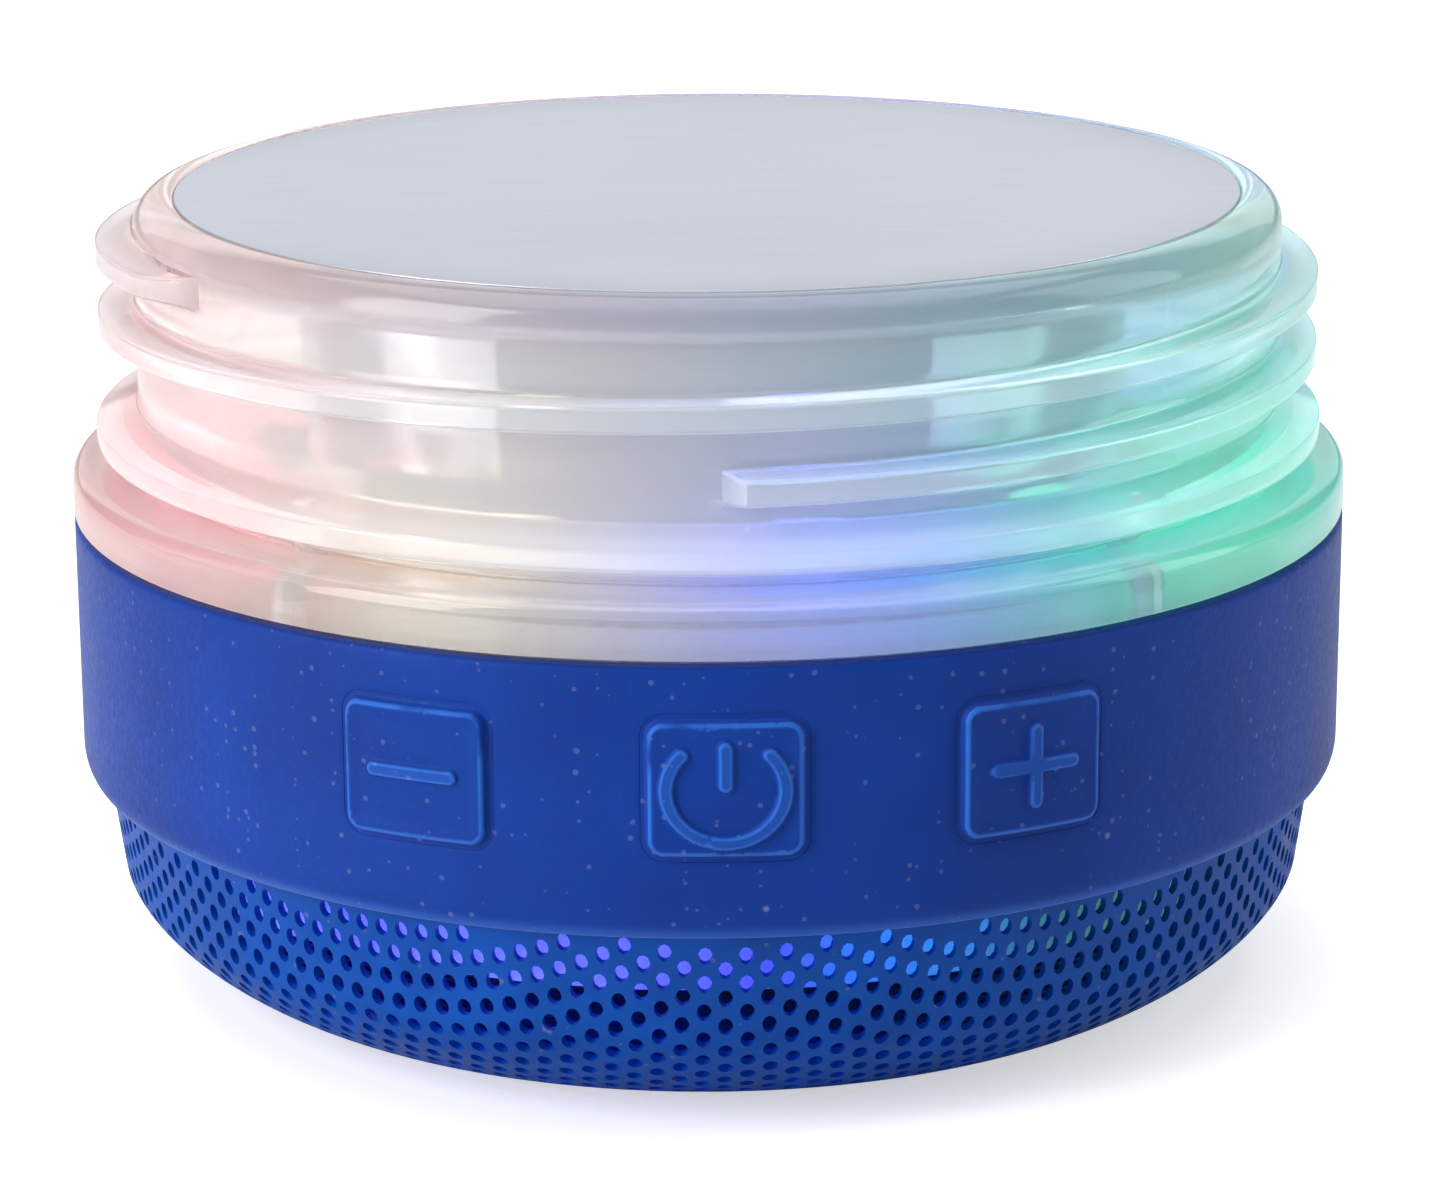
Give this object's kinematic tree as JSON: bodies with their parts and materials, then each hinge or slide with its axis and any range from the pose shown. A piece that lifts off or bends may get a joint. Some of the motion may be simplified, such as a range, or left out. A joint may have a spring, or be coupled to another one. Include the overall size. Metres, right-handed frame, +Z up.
{
  "type": "screw-in wireless speaker",
  "caption": "Round wireless speaker and light unit with a frosted threaded neck, a blue silicone band with minus, power and plus keys, and a perforated metal grille as its foot.",
  "frame": {"origin": "centre of the flat foot, on the surface it stands on", "axes": "+Z up the axis through the threaded neck; the keys face -Y and the charging port +Y"},
  "size_m": [0.07, 0.0712, 0.0431],
  "materials": {
    "frosted_plastic": "frosted translucent polycarbonate",
    "satin_silver": "satin silver disc",
    "blue_silicone": "matt silicone rubber",
    "blue_paint": "baked blue paint on perforated steel",
    "cell_foil": "aluminium laminate pouch",
    "circuit_board": "green solder mask on glass epoxy",
    "led_lens": "moulded lamp with clear resin",
    "white_plastic": "moulded",
    "black_plastic": "moulded",
    "black_foam": "closed-cell foam",
    "black_rubber": "butyl rubber",
    "paper_cone": "pressed fibre",
    "zinc_steel": "zinc plated",
    "ferrite": "sintered ferrite, ground",
    "copper": "enamelled copper winding",
    "linen": "resin-dipped corrugated cloth",
    "red_wire": "insulated wire",
    "black_wire": "insulated wire"
  },
  "bodies": {
    "housing": {"neck_shell": "frosted_plastic", "chassis": "frosted_plastic", "battery_cradle": "frosted_plastic", "roof_disc": "satin_silver", "silicone_band": "blue_silicone", "grille": "blue_paint", "battery_cell": "cell_foil", "led_board": "circuit_board", "main_board": "circuit_board", "led_01": "led_lens", "led_02": "led_lens", "led_03": "led_lens", "led_04": "led_lens", "led_05": "led_lens", "led_06": "led_lens", "led_07": "led_lens", "led_08": "led_lens", "led_09": "led_lens", "led_10": "led_lens", "battery_connector": "white_plastic", "amplifier_chip": "black_plastic", "battery_pad": "black_foam", "speaker_gasket": "black_foam", "surround": "black_rubber", "minus_switch": "zinc_steel", "power_switch": "zinc_steel", "plus_switch": "zinc_steel", "bluetooth_module": "zinc_steel", "charging_port": "zinc_steel", "speaker_frame": "zinc_steel", "front_plate": "zinc_steel", "yoke": "zinc_steel", "housing_screw_1": "zinc_steel", "housing_screw_2": "zinc_steel", "housing_screw_3": "zinc_steel", "housing_screw_4": "zinc_steel", "speaker_screw_1": "zinc_steel", "speaker_screw_2": "zinc_steel", "speaker_screw_3": "zinc_steel", "speaker_screw_4": "zinc_steel", "magnet": "ferrite", "spider": "linen", "battery_lead_red": "red_wire", "speaker_lead_red": "red_wire", "battery_lead_black": "black_wire", "speaker_lead_black": "black_wire"},
    "minus_button": {"minus_pad": "blue_silicone", "minus_key": "white_plastic", "minus_stem": "black_plastic"},
    "power_button": {"power_pad": "blue_silicone", "power_key": "white_plastic", "power_stem": "black_plastic"},
    "plus_button": {"plus_pad": "blue_silicone", "plus_key": "white_plastic", "plus_stem": "black_plastic"},
    "diaphragm": {"voice_coil": "copper", "cone": "paper_cone", "dust_cap": "black_rubber"},
    "port_cover": {"port_flap": "blue_silicone"}
  },
  "joints": [
    {"name": "minus_press", "type": "slide", "parent": "housing", "child": "minus_button", "axis": [0.436, 0.8999, 0], "range_m": [0, 0.0005], "stiffness_N_per_m": 2500, "springref_m": -0.0002},
    {"name": "power_press", "type": "slide", "parent": "housing", "child": "power_button", "axis": [0, 1, 0], "range_m": [0, 0.0005], "stiffness_N_per_m": 2500, "springref_m": -0.0002},
    {"name": "plus_press", "type": "slide", "parent": "housing", "child": "plus_button", "axis": [-0.436, 0.8999, 0], "range_m": [0, 0.0005], "stiffness_N_per_m": 2500, "springref_m": -0.0002},
    {"name": "diaphragm_stroke", "type": "slide", "parent": "housing", "child": "diaphragm", "axis": [0, 0, 1], "range_m": [-0.001, 0.001], "stiffness_N_per_m": 2300, "deforming": ["surround", "spider"]},
    {"name": "flap_hinge", "type": "hinge", "parent": "housing", "child": "port_cover", "pos_m": [0, 0.035, 0.023], "axis": [1, 0, 0], "range_deg": [0, 100], "stiffness_Nm_per_rad": 0.002}
  ]
}
